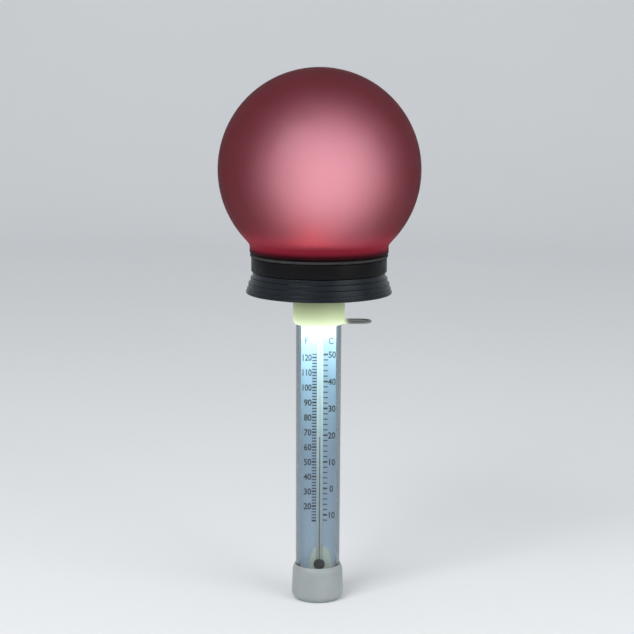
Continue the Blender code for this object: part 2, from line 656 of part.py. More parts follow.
def build_scale():
    """The scale card, the glass stem with its bulb, the silicone seat and the spirit column."""
    half = CARD_WIDTH / 2
    back_y = CARD_FRONT_Y + CARD_THICKNESS
    block("scale_card", (-half, CARD_FRONT_Y, CARD_BOTTOM_Z), (half, back_y, CARD_TOP_Z), card_plastic())

    neck = degrees(asin(STEM_RADIUS / BULB_RADIUS))
    cavity = BULB_RADIUS - BULB_WALL
    mouth = degrees(asin(CAPILLARY_RADIUS / cavity))
    outline = arc((0, BULB_Z), BULB_RADIUS, -90, 90 - neck, 6)
    outline += [(STEM_RADIUS, STEM_TOP_Z - 0.4 * MM), (STEM_RADIUS - 0.4 * MM, STEM_TOP_Z),
                (CAPILLARY_RADIUS, STEM_TOP_Z)]
    outline += arc((0, BULB_Z), cavity, 90 - mouth, -90, 6)
    outline[0] = (0, outline[0][1])
    outline[-1] = (0, outline[-1][1])
    turned("glass_stem", outline, clear_glass(), SMALL_SEGMENTS, STEM_PLACE)

    pool = cavity - GAP
    outline = arc((0, BULB_Z), pool, -90, 90, 6)
    outline[0] = (0, outline[0][1])
    outline[-1] = (0, outline[-1][1])
    turned("spirit_pool", outline, red_spirit(), SCREW_SEGMENTS, STEM_PLACE)
    thread_z = BULB_Z + pool + GAP
    meniscus_z = READING_Z - MENISCUS_LENGTH
    thread = disc_outline(SPIRIT_RADIUS, thread_z, meniscus_z - GAP)
    turned("spirit_thread", thread, red_spirit(), SCREW_SEGMENTS, STEM_PLACE)
    top = disc_outline(SPIRIT_RADIUS, meniscus_z, READING_Z)
    meniscus = turned("spirit_meniscus", top, red_spirit(), SCREW_SEGMENTS, STEM_PLACE, meniscus_z)
    hang_on(joint_empty("reading_axis", (*STEM_PLACE, READING_Z)), [meniscus])
    build_bulb_seat()


def build_bulb_seat():
    """A dome of silicone behind the bulb, standing on the ballast, with the bulb pressed into it."""
    front, back = -0.8 * MM, CARD_FRONT_Y - GAP
    low = CARD_BOTTOM_Z - GAP
    steps = 10
    mesh = bmesh.new()
    rim = []
    for i in range(steps + 1):
        angle = pi * i / steps
        x = SEAT_X + SEAT_HALF_WIDTH * cos(angle)
        rim.append(mesh.verts.new((x, front, low + SEAT_HEIGHT * sin(angle))))
    face = mesh.faces.new(rim)
    moved = bmesh.ops.extrude_face_region(mesh, geom=[face])["geom"]
    moved = [item for item in moved if isinstance(item, bmesh.types.BMVert)]
    bmesh.ops.translate(mesh, vec=(0, back - front, 0), verts=moved)
    seat = finished(mesh, "bulb_seat", seat_silicone())
    room = BULB_RADIUS + GAP
    channel = STEM_RADIUS + GAP
    neck = degrees(asin(channel / room))
    outline = arc((0, BULB_Z), room, -90, 90 - neck, 6)
    outline[0] = (0, outline[0][1])
    outline += [(channel, 40 * MM), (0, 40 * MM)]
    press = turned("bulb_press", outline, clear_glass(), SMALL_SEGMENTS, STEM_PLACE)
    combine(seat, press, "DIFFERENCE")


def build_all():
    """Build every piece from the foot up."""
    clear_scene()
    build_tube()
    build_scale()
    build_top_cap()
    build_tube_top()
    build_base_shell()
    build_base_screws()
    build_battery_bay()
    build_button_and_board()
    build_threaded_collar()
    build_battery_cover()
    seal = build_globe_seal()
    globe = build_globe()
    hang_on(joint_empty("globe_axis", (0, 0, NECK_BOTTOM_Z)), [seal, globe])


build_all()
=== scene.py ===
"""Looks of the floating pool thermometer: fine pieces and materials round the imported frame.

Metres, +Z up, in the frame of the CAD model. Lengths that only the looks need are named in
millimetres through MM. Places come from the frame's boxes.
"""
import json
from math import asin, cos, degrees, pi, radians, sin

import bmesh
import bpy
from mathutils import Matrix, Vector


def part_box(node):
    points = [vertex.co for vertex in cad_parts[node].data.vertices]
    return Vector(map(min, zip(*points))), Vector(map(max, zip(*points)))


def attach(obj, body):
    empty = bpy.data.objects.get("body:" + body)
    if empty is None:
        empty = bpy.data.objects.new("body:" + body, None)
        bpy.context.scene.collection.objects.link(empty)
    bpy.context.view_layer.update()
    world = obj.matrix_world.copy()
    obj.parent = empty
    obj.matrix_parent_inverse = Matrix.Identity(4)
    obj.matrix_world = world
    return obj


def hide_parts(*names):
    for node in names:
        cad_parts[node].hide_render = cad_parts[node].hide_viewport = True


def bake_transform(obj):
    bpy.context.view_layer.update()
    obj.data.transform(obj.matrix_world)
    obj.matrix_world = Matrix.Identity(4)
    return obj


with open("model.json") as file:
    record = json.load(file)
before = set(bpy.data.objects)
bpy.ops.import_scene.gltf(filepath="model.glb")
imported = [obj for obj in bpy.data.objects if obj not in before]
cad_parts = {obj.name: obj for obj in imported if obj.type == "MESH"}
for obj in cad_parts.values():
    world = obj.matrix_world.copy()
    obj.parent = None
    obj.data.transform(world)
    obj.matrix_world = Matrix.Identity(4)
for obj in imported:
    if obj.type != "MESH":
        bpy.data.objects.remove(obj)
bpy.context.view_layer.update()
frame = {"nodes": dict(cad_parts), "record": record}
NODES = frame["nodes"]
MM = 0.001
LOW, HIGH = 0, 1

# Camera: level distance, height and downward tilt, seen from -Y
CAMERA_DISTANCE = 1.0
CAMERA_HEIGHT = 0.3238
CAMERA_TILT = radians(9.22)
CAMERA_ROLL = radians(0.28)
CAMERA_LENS = 103.3
CAMERA_SENSOR = 36.0
CAMERA_X = -1.0 * MM

GAP = 0.3 * MM
GLOBE_RADIUS = 56 * MM
TAB_Z = 158.6 * MM
BUTTON_Y = sum(corner.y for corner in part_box("power_button")) / 2
NECK_FOOT_Z = 197.7 * MM
SCREW_HOLE = 1.55 * MM
BUTTON_HOLE = 4.3 * MM
SHARP_ANGLE = 40
LAMPS = ("led_red", "led_green", "led_blue")

# Printed scale: the lowest mark, its height and the height of one degree F, then where marks and text stand
SCALE_LOW_F = 10
SCALE_LOW_Z = 43.75 * MM
SCALE_STEP = 0.8577 * MM
F_MARK_X = -2.05 * MM
C_MARK_X = 3.83 * MM
MARK_LENGTH = 3.1 * MM
F_TEXT_X = -3.85 * MM
C_TEXT_X = 7.75 * MM
LETTER_X = 7.1 * MM
LETTER_F = 131.2

# Lettering: cap height here and in the font, width, the squeeze of three digits, and boldness
CAP_HEIGHT = 3.7 * MM
FONT_CAP = 0.73
TEXT_NARROW = 0.88
THREE_DIGITS_NARROW = 0.90
TEXT_BOLD = 0.025


def middle_of(node):
    """The x and y of a node's box centre."""
    low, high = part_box(node)
    return ((low.x + high.x) / 2, (low.y + high.y) / 2)


POSTS = [middle_of(f"base_screw_{index}") for index in range(1, 5)]


# ---------------------------------------------------------------- node helpers

def new_material(name):
    """A cleared node material, its tree and its output."""
    made = bpy.data.materials.new(name)
    made.use_nodes = True
    tree = made.node_tree
    tree.nodes.clear()
    output = tree.nodes.new("ShaderNodeOutputMaterial")
    return made, tree, output


def principled(tree, output, roughness=0.4, **sockets):
    """A Principled shader joined to the output, with constant sockets by name."""
    shader = tree.nodes.new("ShaderNodeBsdfPrincipled")
    shader.inputs["Roughness"].default_value = roughness
    for name, value in sockets.items():
        shader.inputs[name.replace("_", " ")].default_value = value
    tree.links.new(shader.outputs["BSDF"], output.inputs["Surface"])
    return shader


def coordinates(tree):
    """The object's own coordinates, which equal the model's frame at rest."""
    return tree.nodes.new("ShaderNodeTexCoord").outputs["Object"]


def noise(tree, vector, size, detail=3.0, stretch=(1, 1, 1)):
    """Noise whose features are about size metres across."""
    mapping = tree.nodes.new("ShaderNodeMapping")
    mapping.inputs["Scale"].default_value = [s / size for s in stretch]
    tree.links.new(vector, mapping.inputs["Vector"])
    texture = tree.nodes.new("ShaderNodeTexNoise")
    texture.inputs["Scale"].default_value = 1.0
    texture.inputs["Detail"].default_value = detail
    tree.links.new(mapping.outputs["Vector"], texture.inputs["Vector"])
    return texture.outputs["Fac"]


def ramp(tree, factor, stops):
    """A colour ramp: stops are (position, colour)."""
    node = tree.nodes.new("ShaderNodeValToRGB")
    elements = node.color_ramp.elements
    while len(elements) < len(stops):
        elements.new(0.5)
    for element, (position, colour) in zip(elements, stops):
        element.position = position
        element.color = (*colour, 1)
    tree.links.new(factor, node.inputs["Fac"])
    return node.outputs["Color"]


def remap(tree, value, low, high, to_low=0.0, to_high=1.0):
    """A clamped linear map of a value."""
    node = tree.nodes.new("ShaderNodeMapRange")
    node.inputs["From Min"].default_value = low
    node.inputs["From Max"].default_value = high
    node.inputs["To Min"].default_value = to_low
    node.inputs["To Max"].default_value = to_high
    tree.links.new(value, node.inputs["Value"])
    return node.outputs["Result"]


def height(tree, vector):
    """The Z of a coordinate."""
    node = tree.nodes.new("ShaderNodeSeparateXYZ")
    tree.links.new(vector, node.inputs["Vector"])
    return node.outputs["Z"]


def side(tree, vector):
    """The X of a coordinate."""
    node = tree.nodes.new("ShaderNodeSeparateXYZ")
    tree.links.new(vector, node.inputs["Vector"])
    return node.outputs["X"]


def bump(tree, shader, factor, depth):
    """Add a bump of the given depth in metres to a shader."""
    node = tree.nodes.new("ShaderNodeBump")
    node.inputs["Distance"].default_value = depth
    node.inputs["Strength"].default_value = 1.0
    tree.links.new(factor, node.inputs["Height"])
    tree.links.new(node.outputs["Normal"], shader.inputs["Normal"])


def moulded(name, dark, light, roughness, grain=0.4 * MM, depth=0.01 * MM, cloud=12 * MM, **sockets):
    """Moulded plastic: slow colour drift, uneven gloss and a fine grain."""
    made, tree, output = new_material(name)
    shader = principled(tree, output, **sockets)
    place = coordinates(tree)
    drift = noise(tree, place, cloud)
    tree.links.new(ramp(tree, drift, [(0.3, dark), (0.7, light)]), shader.inputs["Base Color"])
    gloss = remap(tree, noise(tree, place, cloud / 3), 0.3, 0.7, *roughness)
    tree.links.new(gloss, shader.inputs["Roughness"])
    bump(tree, shader, noise(tree, place, grain), depth)
    return made


# ---------------------------------------------------------------- materials

def absorb(tree, output, colour, density):
    """Tint what passes through a solid, more where the way through it is longer."""
    node = tree.nodes.new("ShaderNodeVolumeAbsorption")
    node.inputs["Color"].default_value = (*colour, 1)
    node.inputs["Density"].default_value = density
    tree.links.new(node.outputs["Volume"], output.inputs["Volume"])


def globe_material():
    """Frosted pink ball: wide rough transmission for the light inside under a glossy skin. Its colour is painted
    near black at the neck foot as painted shade, and a painted glow band lies just above the neck.
    """
    made, tree, output = new_material("globe_pink")
    shader = principled(tree, output, Transmission_Weight=0.98, IOR=1.34, Alpha=0.955,
                        Coat_Weight=0.08, Coat_Roughness=0.12, Emission_Strength=1.0,
                        Specular_Tint=(0.85, 0.16, 0.26, 1))
    place = coordinates(tree)
    cloud = noise(tree, place, 40 * MM, 2.0)
    level = height(tree, place)
    # Painted shade: the colour goes near black at the neck foot and brightens over the next 10 mm.
    tint = ramp(tree, remap(tree, level, NECK_FOOT_Z, NECK_FOOT_Z + 10 * MM), [
        (0.0, (0.015, 0.001, 0.002)), (0.2, (0.15, 0.008, 0.018)),
        (0.5, (0.42, 0.14, 0.18)), (1.0, (0.46, 0.19, 0.24))])
    tree.links.new(tint, shader.inputs["Base Color"])
    tree.links.new(remap(tree, cloud, 0.3, 0.7, 0.90, 0.96), shader.inputs["Roughness"])
    # Painted glow: a band of emission just above the neck and a faint glow higher up, for the lamp's light in the
    # wall; the ball is no lamp.
    glow = ramp(tree, remap(tree, level, NECK_FOOT_Z, NECK_FOOT_Z + 20 * MM), [
        (0.0, (0.0, 0.0, 0.0)), (0.07, (0.01, 0.0, 0.001)), (0.2, (0.14, 0.006, 0.018)),
        (0.45, (0.12, 0.005, 0.015)), (0.7, (0.03, 0.001, 0.004)), (1.0, (0.01, 0.0, 0.001))])
    tree.links.new(glow, shader.inputs["Emission Color"])
    bump(tree, shader, noise(tree, place, 1.2 * MM), 0.004 * MM)
    absorb(tree, output, (0.66, 0.05, 0.13), 330.0)
    return made


def clear_material(name, tint, roughness, ior, edge, density, band=1.0, rim=1.0):
    """Clear plastic or glass with faint draw lines along Z; band and rim paint its edges darker by viewing angle,
    a painted dark reflection, while the absorption darkens the longer ways through it as thick glass does.
    """
    made, tree, output = new_material(name)
    absorb(tree, output, edge, density)
    shader = principled(tree, output, roughness, Transmission_Weight=1.0, IOR=ior)
    place = coordinates(tree)
    lines = noise(tree, place, 2 * MM, 2.0, (1, 1, 0.05))
    # Painted reflection: the tint is darkened where the surface turns away from view, by the band and rim
    # factors.
    facing = tree.nodes.new("ShaderNodeLayerWeight")
    facing.inputs["Blend"].default_value = 0.5
    shade = ramp(tree, facing.outputs["Facing"], [
        (0.0, tint), (0.44, tint), (0.58, [c * band for c in tint]), (0.95, [c * rim for c in tint])])
    tree.links.new(shade, shader.inputs["Base Color"])
    tree.links.new(remap(tree, lines, 0.3, 0.7, roughness, roughness * 2), shader.inputs["Roughness"])
    bump(tree, shader, lines, 0.003 * MM)
    return made


def top_cap_material():
    """Cream moulding with painted light: colour and glow are painted brightest at its lower rim, where the
    downlight shines through, and the tab is painted darker as shade.
    """
    made, tree, output = new_material("cream_glow")
    shader = principled(tree, output, Subsurface_Weight=0.15, Emission_Strength=1.0)
    shader.inputs["Subsurface Radius"].default_value = (4 * MM, 4 * MM, 3 * MM)
    place = coordinates(tree)
    level = height(tree, place)
    span = remap(tree, level, 0.158, 0.174)
    # Painted light: the colour is lighter at the lower rim and darker upward.
    colour = ramp(tree, span, [
        (0.0, (0.66, 0.71, 0.52)), (0.5, (0.42, 0.47, 0.29)), (1.0, (0.20, 0.24, 0.13))])
    # Painted shade: the tab is painted a darker grey-green than the cap, though it is the same cream plastic.
    tab = tree.nodes.new("ShaderNodeMix")
    tab.data_type = "RGBA"
    tab.inputs["B"].default_value = (0.17, 0.19, 0.165, 1)
    tree.links.new(remap(tree, side(tree, place), 14.3 * MM, 17.5 * MM), tab.inputs["Factor"])
    tree.links.new(colour, tab.inputs["A"])
    tree.links.new(tab.outputs["Result"], shader.inputs["Base Color"])
    # Painted glow, brightest at the lower rim, for the downlight shining through; the cap is no lamp.
    glow = ramp(tree, span, [
        (0.0, (0.42, 0.50, 0.32)), (0.30, (0.22, 0.28, 0.13)), (0.75, (0.05, 0.07, 0.025)),
        (1.0, (0.02, 0.03, 0.01))])
    tree.links.new(glow, shader.inputs["Emission Color"])
    # The painted glow fades out along the tab.
    near = remap(tree, side(tree, place), 14.3 * MM, 16.5 * MM, 1.0, 0.0)
    tree.links.new(near, shader.inputs["Emission Strength"])
    gloss = remap(tree, noise(tree, place, 5 * MM), 0.3, 0.7, 0.34, 0.46)
    tree.links.new(gloss, shader.inputs["Roughness"])
    bump(tree, shader, noise(tree, place, 0.5 * MM), 0.006 * MM)
    return made


def card_material():
    """Blue-grey card with painted light: its colour and a painted glow change with height, the glow brightest
    towards the lamp at its top.
    """
    made, tree, output = new_material("card_face")
    shader = principled(tree, output, 0.6, Emission_Strength=1.0)
    place = coordinates(tree)
    level = height(tree, place)
    span = remap(tree, level, 0.014, 0.160)
    # Painted light: the colour is lighter at the bottom and towards the top than in the middle.
    colour = ramp(tree, span, [
        (0.0, (0.50, 0.58, 0.68)), (0.5, (0.42, 0.52, 0.63)), (1.0, (0.50, 0.66, 0.76))])
    tree.links.new(colour, shader.inputs["Base Color"])
    # Painted glow: faint low down, strongest near the lamp at the top; the card is no lamp.
    glow = ramp(tree, span, [
        (0.0, (0.09, 0.10, 0.115)), (0.5, (0.035, 0.05, 0.065)), (0.78, (0.09, 0.17, 0.21)),
        (0.89, (0.35, 0.50, 0.54)), (0.95, (0.95, 1.0, 1.0))])
    tree.links.new(glow, shader.inputs["Emission Color"])
    fibre = noise(tree, place, 0.6 * MM, 4.0, (1, 1, 0.4))
    bump(tree, shader, fibre, 0.01 * MM)
    return made


def ink_material():
    """Blue-black print with a painted glow that washes it out towards the lamp near the card's top."""
    made, tree, output = new_material("print_ink")
    shader = principled(tree, output, 0.6, Emission_Strength=1.0)
    place = coordinates(tree)
    patches = noise(tree, place, 2 * MM)
    tree.links.new(ramp(tree, patches, [(0.3, (0.008, 0.016, 0.026)), (0.7, (0.014, 0.026, 0.040))]),
                   shader.inputs["Base Color"])
    wash = remap(tree, height(tree, place), 0.115, 0.152)
    # Painted glow on the print, rising towards the lamp at the top.
    glow = ramp(tree, wash, [
        (0.0, (0.0, 0.0, 0.0)), (0.6, (0.015, 0.06, 0.07)), (0.8, (0.12, 0.20, 0.21)),
        (1.0, (0.50, 0.56, 0.58))])
    tree.links.new(glow, shader.inputs["Emission Color"])
    bump(tree, shader, patches, 0.005 * MM)
    return made


def backing_material():
    """White enamel strip behind the stem, with a painted glow that brightens towards its top end, where the lamp
    is.
    """
    made, tree, output = new_material("enamel_strip")
    shader = principled(tree, output, 0.35, Emission_Strength=1.0)
    place = coordinates(tree)
    span = remap(tree, height(tree, place), 0.020, 0.160)
    colour = ramp(tree, noise(tree, place, 6 * MM), [(0.3, (0.70, 0.76, 0.76)), (0.7, (0.78, 0.84, 0.82))])
    tree.links.new(colour, shader.inputs["Base Color"])
    # Painted glow, rising towards the lamp at the top of the strip.
    glow = ramp(tree, span, [
        (0.0, (0.0, 0.0, 0.0)), (0.3, (0.03, 0.035, 0.035)), (0.5, (0.14, 0.19, 0.18)),
        (0.75, (0.40, 0.52, 0.48)), (1.0, (0.9, 1.0, 1.0))])
    tree.links.new(glow, shader.inputs["Emission Color"])
    return made


def metal(name, colour, roughness):
    """Plated metal with fine turning marks."""
    made, tree, output = new_material(name)
    shader = principled(tree, output, Metallic=1.0)
    place = coordinates(tree)
    marks = noise(tree, place, 0.35 * MM, 4.0, (1, 1, 4))
    shade = [c * 0.8 for c in colour]
    tree.links.new(ramp(tree, marks, [(0.3, shade), (0.7, colour)]), shader.inputs["Base Color"])
    gloss = remap(tree, marks, 0.3, 0.7, roughness - 0.08, roughness + 0.08)
    tree.links.new(gloss, shader.inputs["Roughness"])
    bump(tree, shader, marks, 0.004 * MM)
    return made


def lamp_material(name, colour, glow, strength):
    """A clear coloured lamp body, lit from within when strength is above zero."""
    made, tree, output = new_material(name)
    shader = principled(tree, output, 0.12, Transmission_Weight=0.35, Emission_Strength=strength)
    place = coordinates(tree)
    shade = [c * 0.8 for c in colour]
    tint = ramp(tree, noise(tree, place, 2 * MM), [(0.3, shade), (0.7, colour)])
    tree.links.new(tint, shader.inputs["Base Color"])
    shader.inputs["Emission Color"].default_value = (*glow, 1)
    return made


# ---------------------------------------------------------------- mesh helpers

def arc(centre, radius, start, end, steps):
    """Arc points in the (r, z) plane, angles in degrees from +r towards +z."""
    angles = [radians(start + (end - start) * i / steps) for i in range(steps + 1)]
    return [(centre[0] + radius * cos(a), centre[1] + radius * sin(a)) for a in angles]


def rounded(points, radius, steps=4):
    """An (r, z) outline with its inner corners rounded; radius is one value or one for each."""
    radii = radius if isinstance(radius, (list, tuple)) else [radius] * len(points)
    made = [points[0]]
    for before, here, after, size in zip(points, points[1:], points[2:], radii[1:]):
        here, before, after = Vector(here), Vector(before), Vector(after)
        to_before, to_after = before - here, after - here
        reach = min(size, to_before.length / 2, to_after.length / 2)
        if reach < 1e-6:
            made.append(tuple(here))
            continue
        start = here + to_before.normalized() * reach
        end = here + to_after.normalized() * reach
        for i in range(steps + 1):
            t = i / steps
            made.append(tuple(start * (1 - t) ** 2 + here * 2 * t * (1 - t) + end * t ** 2))
    made.append(points[-1])
    return made


def turned_bmesh(outline, segments, closed):
    """Spin an (r, z) outline once round +Z."""
    mesh = bmesh.new()
    points = [mesh.verts.new((r, 0, z)) for r, z in outline]
    pairs = list(zip(points, points[1:]))
    if closed:
        pairs.append((points[-1], points[0]))
    lines = [mesh.edges.new(pair) for pair in pairs]
    bmesh.ops.spin(mesh, geom=points + lines, cent=(0, 0, 0), axis=(0, 0, 1), angle=2 * pi, steps=segments,
                   use_merge=True)
    bmesh.ops.remove_doubles(mesh, verts=mesh.verts, dist=1e-6)
    return mesh


def smooth(data, sharp=SHARP_ANGLE):
    """Smooth shading with edges sharper than an angle kept."""
    data.shade_smooth()
    data.set_sharp_from_angle(angle=radians(sharp))


def add_piece(mesh, name, look, centre=(0, 0, 0)):
    """Turn a bmesh into a smooth-shaded object at a place."""
    bmesh.ops.translate(mesh, vec=centre, verts=mesh.verts)
    bmesh.ops.recalc_face_normals(mesh, faces=mesh.faces)
    data = bpy.data.meshes.new(name)
    mesh.to_mesh(data)
    mesh.free()
    smooth(data)
    data.materials.append(look)
    made = bpy.data.objects.new(name, data)
    bpy.context.scene.collection.objects.link(made)
    return made


def turned(name, outline, look, segments=96, centre=(0, 0, 0), closed=None):
    """A turned piece; a profile that starts and ends on the axis is left open there."""
    if closed is None:
        closed = outline[0][0] > 1e-7 or outline[-1][0] > 1e-7
    return add_piece(turned_bmesh(outline, segments, closed), name, look, centre)


def stands_for(piece, body, slot, *nodes):
    """Ride a fine piece on a body in place of CAD nodes."""
    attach(piece, body)
    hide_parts(*nodes)
    return piece


def on_axis(points):
    """Put the first and last point of an outline exactly on the axis."""
    return [(0.0, points[0][1]), *points[1:-1], (0.0, points[-1][1])]


def boolean(target, tool, operation):
    """Apply a Boolean at once and remove the tool."""
    step = target.modifiers.new("cut", "BOOLEAN")
    step.operation = operation
    step.solver = "EXACT"
    step.object = tool
    graph = bpy.context.evaluated_depsgraph_get()
    result = bpy.data.meshes.new_from_object(target.evaluated_get(graph))
    target.modifiers.clear()
    target.data = result
    bpy.data.objects.remove(tool)


# ---------------------------------------------------------------- pieces

def make_globe(look):
    """The ball with its neck, a soft fillet where they meet, and a rounded lip."""
    low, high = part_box("globe")
    centre = (0, high.z - GLOBE_RADIUS)
    neck, bore, wall = 38.5 * MM, 36.3 * MM, 2 * MM
    out_end = -90 + degrees(asin(neck / GLOBE_RADIUS))
    in_end = -90 + degrees(asin(bore / (GLOBE_RADIUS - wall)))
    join_z = centre[1] + GLOBE_RADIUS * sin(radians(out_end))
    outline = arc(centre, GLOBE_RADIUS, 90, out_end + 3, 60)
    outline += [(neck + 0.25 * MM, join_z - 0.2 * MM), (neck, join_z - 1.6 * MM)]
    outline += [(neck, low.z + 0.7 * MM), (neck - 0.25 * MM, low.z + 0.15 * MM), (neck - 0.7 * MM, low.z)]
    outline += [(bore + 0.3 * MM, low.z), (bore, low.z + 0.3 * MM)]
    outline += arc(centre, GLOBE_RADIUS - wall, in_end, 90, 56)
    stands_for(turned("globe_ball", on_axis(outline), look, 144), "globe_body", "globe_plastic", "globe")


def make_seal(look):
    """The round O-ring under the neck."""
    low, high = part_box("globe_seal")
    radius = (high.z - low.z) / 2
    centre = (high.x - radius, (low.z + high.z) / 2)
    ring = turned("globe_o_ring", arc(centre, radius, 0, 360, 16)[:-1], look, 144)
    stands_for(ring, "globe_turning", "black_rubber", "globe_seal")


def helix_ridge(name, look, radius, crest, low, turns, pitch, half_base):
    """A right-handed thread ridge round +Z whose ends run out into the wall."""
    mesh = bmesh.new()
    per_turn = 72
    steps = int(turns * per_turn)
    rows = []
    for i in range(steps + 1):
        angle = 2 * pi * i / per_turn
        z = low + pitch * i / per_turn
        fade = min(1.0, i / 12, (steps - i) / 12)
        reach = radius + (crest - radius) * fade
        section = [(radius - 0.3 * MM, z - half_base), (reach, z - half_base * 0.35),
                   (reach, z + half_base * 0.35), (radius - 0.3 * MM, z + half_base)]
        rows.append([mesh.verts.new((r * cos(angle), r * sin(angle), h)) for r, h in section])
    for before, after in zip(rows, rows[1:]):
        for k in range(4):
            mesh.faces.new((before[k], before[(k + 1) % 4], after[(k + 1) % 4], after[k]))
    mesh.faces.new(rows[0])
    mesh.faces.new(rows[-1][::-1])
    return add_piece(mesh, name, look)


def make_collar(look):
    """The collar with a real thread, and its four screw posts."""
    low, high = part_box("threaded_collar")
    flange_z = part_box("base_shell")[HIGH].z + GAP
    flange_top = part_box("globe_seal")[LOW].z - GAP
    skirt, flange, root = 34.3 * MM, high.x, 35.2 * MM
    bore, ledge_bore, cover_seat = 32.6 * MM, 31.8 * MM, 34.5 * MM
    ledge_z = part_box("cover_gasket")[LOW].z - GAP
    skirt_z = 184.5 * MM
    ledge_low = ledge_z - 1.8 * MM
    points = [(bore, skirt_z), (skirt, skirt_z), (skirt, flange_z), (flange, flange_z), (flange, flange_top),
              (root, flange_top), (root, high.z), (cover_seat, high.z), (cover_seat, ledge_z),
              (ledge_bore, ledge_z), (ledge_bore, ledge_low), (bore, ledge_low), (bore, skirt_z)]
    outline = rounded(points, 0.4 * MM)[:-1]
    collar = turned("collar_ring", outline, look, 144, closed=True)
    stands_for(collar, "root", "collar_plastic", "threaded_collar")
    ridge = helix_ridge("collar_thread", look, root, crest=35.95 * MM, low=flange_top + 2.2 * MM,
                        turns=1.6, pitch=4 * MM, half_base=0.9 * MM)
    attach(ridge, "root")
    post_radius, top = 2.8 * MM, ledge_z - 0.1 * MM
    section = [(SCREW_HOLE, low.z), (post_radius, low.z), (post_radius, top), (SCREW_HOLE, top),
               (SCREW_HOLE, low.z)]
    outline = rounded(section, 0.3 * MM)[:-1]
    for index, (x, y) in enumerate(POSTS, 1):
        post = turned(f"collar_post_{index}", outline, look, 32, (x, y, 0), closed=True)
        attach(post, "root")


def upright(centre, radius, low, high):
    """A helper cylinder for cuts."""
    mesh = bmesh.new()
    place = Matrix.Translation((centre[0], centre[1], (low + high) / 2))
    bmesh.ops.create_cone(mesh, cap_ends=True, segments=48, radius1=radius, radius2=radius,
                          depth=high - low, matrix=place)
    return add_piece(mesh, "cutter", bpy.data.materials[0])


def make_base(look):
    """The stepped shell: rounded steps, a bead on each tread and a moulded ring underneath."""
    low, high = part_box("base_shell")
    steps = [(40.5, 176.5), (39.9, 178.4), (39.2, 181.3), (38.0, 184.3), (36.8, 187.2)]
    bore, hub, floor_z = 34.6 * MM, 10.8 * MM, low.z + 2 * MM
    groove_z = low.z + 0.35 * MM
    points = [(hub, low.z), (16 * MM, low.z), (16.4 * MM, groove_z), (33.5 * MM, groove_z),
              (33.9 * MM, low.z), (high.x, low.z)]
    sizes = [0, 0.1, 0.1, 0.1, 0.1, 0.4]
    for (radius, top), following in zip(steps, [step[0] for step in steps[1:]] + [34.6]):
        tread = (radius - following) * 0.25
        points += [(radius * MM, top * MM), ((following + tread) * MM, top * MM),
                   (following * MM, (top + tread) * MM if following > 35 else top * MM)]
        sizes += [0.45, 0.15, 0.15]
    lip_z, wall_z, lip, wall = 183.5 * MM, 180.4 * MM, 36 * MM, 37.5 * MM
    points += [(bore, lip_z), (lip, lip_z), (lip, wall_z), (wall, wall_z),
               (wall, floor_z), (hub, floor_z), (hub, low.z)]
    sizes += [0.2] * 7
    outline = rounded(points, [size * MM for size in sizes])[:-1]
    shell = turned("base_stepped_shell", outline, look, 144, closed=True)
    for place in POSTS:
        boolean(shell, upright(place, SCREW_HOLE, low.z - MM, floor_z + MM), "DIFFERENCE")
    boolean(shell, upright((0, BUTTON_Y), BUTTON_HOLE, low.z - MM, floor_z + MM), "DIFFERENCE")
    smooth(shell.data)
    stands_for(shell, "root", "base_plastic", "base_shell")


def cross_recess(centre, top, depth, reach, down):
    """The two tapered bars of a cross drive, as cutters."""
    sign = -1 if down else 1
    tools = []
    for turn in (0, pi / 2):
        mesh = bmesh.new()
        made = bmesh.ops.create_cube(mesh, size=1)["verts"]
        bmesh.ops.scale(mesh, vec=(reach * 2, reach * 0.42, depth * 2), verts=made)
        bmesh.ops.rotate(mesh, cent=(0, 0, 0), matrix=Matrix.Rotation(turn, 3, "Z"), verts=made)
        bmesh.ops.translate(mesh, vec=(centre[0], centre[1], top), verts=made)
        for vert in made:
            if (vert.co.z - top) * sign < 0:
                vert.co.x = centre[0] + (vert.co.x - centre[0]) * 0.45
                vert.co.y = centre[1] + (vert.co.y - centre[1]) * 0.45
        tools.append(add_piece(mesh, "cutter", bpy.data.materials[0]))
    return tools


def make_screws(look):
    """Pan-head screws with a cross drive, in place of each plain CAD screw."""
    names = [f"cover_screw_{i}" for i in range(1, 5)] + [f"base_screw_{i}" for i in range(1, 5)]
    names += ["tray_screw_1", "tray_screw_2"]
    shank, head_height = 1.25 * MM, 1.3 * MM
    for name in names:
        low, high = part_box(name)
        x, y = middle_of(name)
        head = (high.x - low.x) / 2
        down = name.startswith("base")
        top, tip = (low.z, high.z) if down else (high.z, low.z)
        rise = -head_height if down else head_height
        taper = -shank * 0.8 if down else shank * 0.8
        section = [(0, top), (head * 0.45, top), (head * 0.8, top - rise * 0.12),
                   (head * 0.98, top - rise * 0.5), (head, top - rise), (shank, top - rise),
                   (shank, tip + taper), (0, tip)]
        screw = turned(name + "_fine", section, look, 32, (x, y, 0))
        for tool in cross_recess((x, y), top, 0.7 * MM, head * 0.55, down):
            boolean(screw, tool, "DIFFERENCE")
        smooth(screw.data)
        body = "cover" if name.startswith("cover") else "root"
        stands_for(screw, body, "steel", name)


def tab_mesh(eye_x, reach, half_width, hole, low, high, root_x):
    """A flat tab with a round end, an eye and chamfered edges, as a ring of sections round the eye."""
    mesh = bmesh.new()
    count, edge = 96, 0.3 * MM
    rings = []
    for i in range(count):
        angle = 2 * pi * i / count
        across, along = abs(sin(angle)), cos(angle)
        if along >= 0:
            out = reach - eye_x
        else:
            out = min(half_width / max(across, 1e-9), (eye_x - root_x) / -along)
        sections = [(hole + edge, high), (hole, high - edge), (hole, low + edge), (hole + edge, low),
                    (out - edge, low), (out, low + edge), (out, high - edge), (out - edge, high)]
        rings.append([mesh.verts.new((eye_x + r * along, r * sin(angle), z)) for r, z in sections])
    for before, after in zip(rings, rings[1:] + rings[:1]):
        for k in range(8):
            mesh.faces.new((before[k], before[(k + 1) % 8], after[(k + 1) % 8], after[k]))
    return mesh


